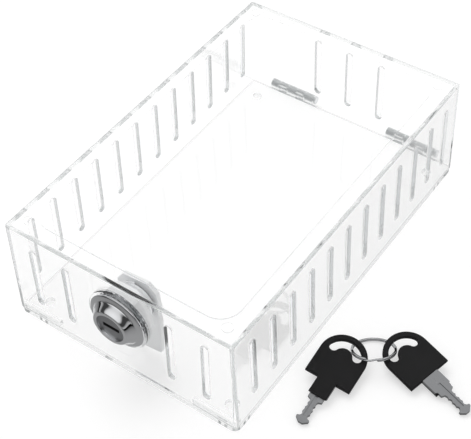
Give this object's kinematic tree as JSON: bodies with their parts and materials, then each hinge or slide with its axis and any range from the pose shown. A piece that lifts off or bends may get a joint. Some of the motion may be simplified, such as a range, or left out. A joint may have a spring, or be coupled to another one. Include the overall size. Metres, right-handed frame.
{
  "type": "thermostat lock box",
  "caption": "Clear plastic guard box with vented walls, hinged cover, wall plate, keyed cam lock and its keys on a ring.",
  "frame": {"origin": "centre of the four wall screw holes, on the back face of the base plate", "axes": "+X across the width, +Y from the lock wall towards the hinges, +Z away from the wall, through the depth of the box"},
  "size_m": [0.1949, 0.1981, 0.0565],
  "materials": {
    "clear_plastic": "clear, injection moulded, glossy",
    "chrome": "polished chrome plate",
    "plug_metal": "satin nickel plate",
    "steel": "zinc plated, satin",
    "brass": "stamped",
    "ring_steel": "nickel plated wire",
    "key_plastic": "black, fine spark texture",
    "key_steel": "milled and nickel plated"
  },
  "bodies": {
    "base": {"base_plate": "clear_plastic", "hinge_pin_left": "steel", "hinge_pin_right": "steel", "split_ring": "ring_steel"},
    "cover": {"clear_cover": "clear_plastic", "lock_housing": "chrome", "toothed_washer": "steel", "lock_nut": "steel"},
    "plug": {"lock_plug": "plug_metal", "stop_washer": "steel", "lock_cam": "steel", "cam_spring_washer": "steel", "cam_screw": "steel", "wafer_springs": "steel"},
    "wafers_odd": {"wafer_1": "brass", "wafer_3": "brass", "wafer_5": "brass"},
    "wafers_even": {"wafer_2": "brass", "wafer_4": "brass"},
    "key_left": {"key_head_left": "key_plastic", "key_blade_left": "key_steel"},
    "key_right": {"key_head_right": "key_plastic", "key_blade_right": "key_steel"}
  },
  "joints": [
    {"name": "cover_hinge", "type": "hinge", "parent": "base", "child": "cover", "pos_m": [0, 0.09645, 0.004], "axis": [-1, 0, 0], "range_deg": [0, 95]},
    {"name": "lock_turn", "type": "hinge", "parent": "cover", "child": "plug", "pos_m": [0.0011, -0.082, 0.0345], "axis": [0, 1, 0], "range_deg": [-83, 7]},
    {"name": "wafers_odd_slide", "type": "slide", "parent": "plug", "child": "wafers_odd", "axis": [1, 0, 0], "range_m": [-0.0005, 0.0005], "stiffness_N_per_m": 20},
    {"name": "wafers_even_slide", "type": "slide", "parent": "plug", "child": "wafers_even", "axis": [-1, 0, 0], "range_m": [-0.0005, 0.0005], "stiffness_N_per_m": 20},
    {"name": "key_left_swing", "type": "hinge", "parent": "base", "child": "key_left", "pos_m": [0.0866, -0.028, 0.0045], "axis": [0, 0, 1], "range_deg": [-8, 10]},
    {"name": "key_right_swing", "type": "hinge", "parent": "base", "child": "key_right", "pos_m": [0.0866, -0.028, 0.0045], "axis": [0, 0, 1], "range_deg": [-10, 8]}
  ],
  "couplings": [
    {"joint": "wafers_even_slide", "follows": "wafers_odd_slide", "ratio": 1}
  ]
}
